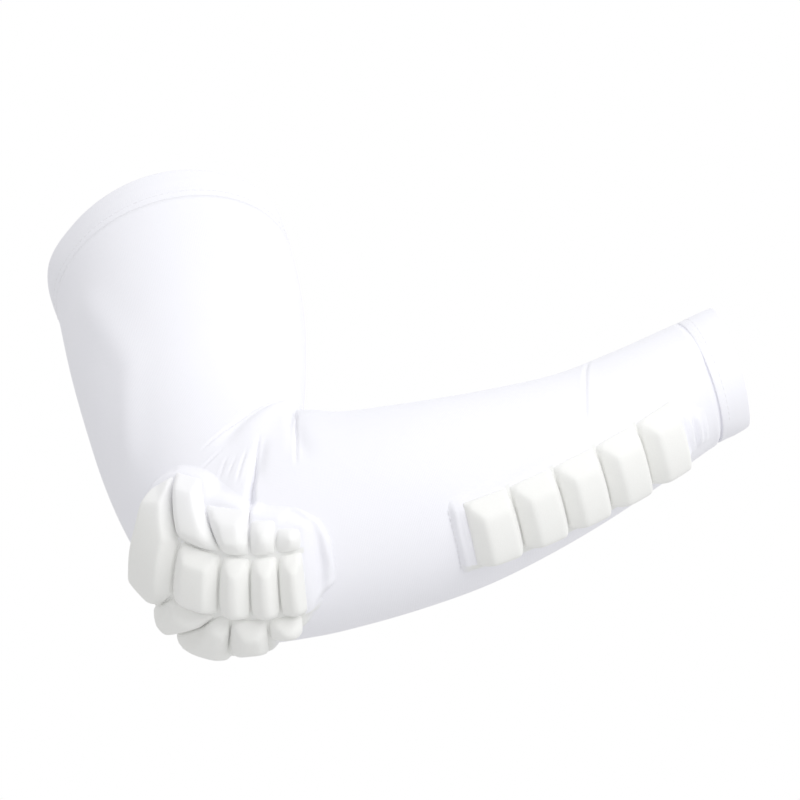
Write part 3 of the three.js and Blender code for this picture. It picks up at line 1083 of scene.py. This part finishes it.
def stitch_row(name, points, normals, material):
    """Stitches laid along a row of points on the cloth, with the cloth's normals, as one piece."""
    stitch, faces = one_stitch()
    lengths = chord_lengths(points)
    count = round(lengths[-1] / (STITCH_LENGTH + STITCH_GAP))
    middles = (np.arange(count) + 0.5) * lengths[-1] / count

    def at(places, rows):
        return np.stack([np.interp(places, lengths, column) for column in rows.T], -1)

    reach = STITCH_LENGTH / 2
    run = unit(at(middles + reach, points) - at(middles - reach, points))
    side = unit(np.cross(at(middles, normals), run))
    up = np.cross(run, side)
    axes = np.stack([run * STITCH_LENGTH, side * STITCH_RADIUS, up * STITCH_RADIUS], 1)
    places = at(middles, points)[:, None] + stitch @ axes
    starts = np.arange(count) * len(stitch)
    all_faces = [[int(start) + i for i in face] for start in starts for face in faces]
    mesh = bpy.data.meshes.new(name)
    mesh.from_pydata(places.reshape(-1, 3) * MM, [], all_faces)
    piece = bpy.data.objects.new(name, mesh)
    bpy.context.scene.collection.objects.link(piece)
    edit(piece, face_out)
    finish_piece(piece, material)


def hem_stitches(hem, material):
    """One row of stitches round a hem."""
    angle = np.linspace(0, 2 * math.pi, HEM_STITCH_POINTS)
    station = np.full_like(angle, hem_station(hem, hem.stitch_inset))
    lift = hem_face(hem, angle, hem.stitch_inset) - STITCH_GROOVE / 2
    points = knit_point(station, angle, lift)
    stitch_row(hem.node + "_stitches", points, knit_normal(station, angle), material)


def tab_stitches(material):
    """One row of stitches across the forearm panel's near tab."""
    across = np.linspace(TAB_STITCHES.low, TAB_STITCHES.high, TAB_STITCH_POINTS)
    along = np.full_like(across, TAB_STITCHES.along)
    points = wrap(along, across, np.full_like(across, TAB_STITCHES.lift))
    normals = knit_normal(*pattern_place(along, across))
    stitch_row("forearm_tab_stitches", points, normals, material)


# The studio, with lamps in directions from the origin by the view's right, up and back
FLOOR_HEIGHT = -1.45
FLOOR_SIZE = 40
FLOOR_WHITE = (0.88, 0.88, 0.88, 1)
FLOOR_ROUGHNESS = 0.9
AMBIENT = 0.75
LAMP_AWAY = 1.7
LAMP_SIZE = 1.3
Lamp = namedtuple("Lamp", "name right up back watts")
LAMPS = [
    Lamp("key", 0.5, 0.51, 0.7, 12.4),
    Lamp("top", -0.25, 0.9, -0.35, 2.4),
    Lamp("rear", 0.75, 0.1, -0.65, 4.5),
]

# The photograph's view: where the origin lies in it, its scale there and the camera's turn
VIEW_AZIMUTH = math.radians(-2.3)
VIEW_ELEVATION = math.radians(-42)
VIEW_ROLL = math.radians(15)
VIEW_DISTANCE = 1.8
IMAGE_SIZE = 800
ORIGIN_PIXEL = (234, 541)
PIXEL = 0.42 * MM
SENSOR = 36.0


def view_axes():
    """The camera's right, up and back directions."""
    flat_right = Vector((math.cos(VIEW_AZIMUTH), math.sin(VIEW_AZIMUTH), 0))
    level = Vector((math.sin(VIEW_AZIMUTH), -math.cos(VIEW_AZIMUTH), 0))
    back = level * math.cos(VIEW_ELEVATION) + Vector((0, 0, math.sin(VIEW_ELEVATION)))
    flat_up = back.cross(flat_right)
    right = flat_right * math.cos(VIEW_ROLL) - flat_up * math.sin(VIEW_ROLL)
    return right, back.cross(right), back


def camera():
    right, up, back = view_axes()
    eye = back * VIEW_DISTANCE
    aim_right = (IMAGE_SIZE / 2 - ORIGIN_PIXEL[0]) * PIXEL
    aim_up = (ORIGIN_PIXEL[1] - IMAGE_SIZE / 2) * PIXEL
    aim = right * aim_right + up * aim_up
    look = (eye - aim).normalized()
    side = up.cross(look).normalized()
    bpy.ops.object.camera_add()
    eye_piece = bpy.context.object
    eye_piece.name = "photo_view"
    turn = Matrix((side, look.cross(side), look)).transposed()
    eye_piece.matrix_world = Matrix.Translation(eye) @ turn.to_4x4()
    eye_piece.data.sensor_width = SENSOR
    eye_piece.data.lens = SENSOR * (eye - aim).length / (IMAGE_SIZE * PIXEL)
    bpy.context.scene.camera = eye_piece


def floor():
    bpy.ops.mesh.primitive_plane_add(size=FLOOR_SIZE, location=(0, 0, FLOOR_HEIGHT))
    ground = take_new("floor")
    material, tree = new_material("floor_paint")
    surface(tree, Base_Color=FLOOR_WHITE, Roughness=FLOOR_ROUGHNESS)
    ground.data.materials.append(material)


def area_light(name, toward, watts):
    bpy.ops.object.light_add(type="AREA", location=toward.normalized() * LAMP_AWAY)
    light = bpy.context.object
    light.name = name
    light.data.shape = "DISK"
    light.data.size = LAMP_SIZE
    light.data.energy = watts
    light.rotation_euler = toward.to_track_quat("Z", "Y").to_euler()


def studio():
    """White surround, seen as white and lighting softly, with lamps at the front, top and rear."""
    right, up, back = view_axes()
    world = bpy.data.worlds.new("white_studio")
    bpy.context.scene.world = world
    world.use_nodes = True
    world.node_tree.nodes.clear()
    tree = Shade(world.node_tree)
    seen = tree.node("ShaderNodeLightPath")
    strength = AMBIENT + seen * (1 - AMBIENT)
    light = tree.node("ShaderNodeBackground", None, {"Color": (1, 1, 1, 1), "Strength": strength})
    tree.node("ShaderNodeOutputWorld", None, {"Surface": light})
    for lamp in LAMPS:
        area_light(lamp.name, right * lamp.right + up * lamp.up + back * lamp.back, lamp.watts)
    bpy.context.scene.view_settings.view_transform = "Standard"


camera()
floor()
studio()
knit_tube()
hem_band(MOUTH_HEM)
hem_band(WRIST_CUFF)
elbow_pad_plans = elbow_plans()
forearm_pad_plans = forearm_plans()
panel("elbow_cloth", "elbow_panel", ELBOW_PANEL, ELBOW_CREASES, elbow_pad_plans)
panel("forearm_cloth", "forearm_panel", FOREARM_PANEL, FOREARM_CREASES, forearm_pad_plans)
foam_pads(elbow_pad_plans + forearm_pad_plans, pad_cloth())
sewing_thread = thread()
hem_stitches(MOUTH_HEM, sewing_thread)
hem_stitches(WRIST_CUFF, sewing_thread)
tab_stitches(sewing_thread)
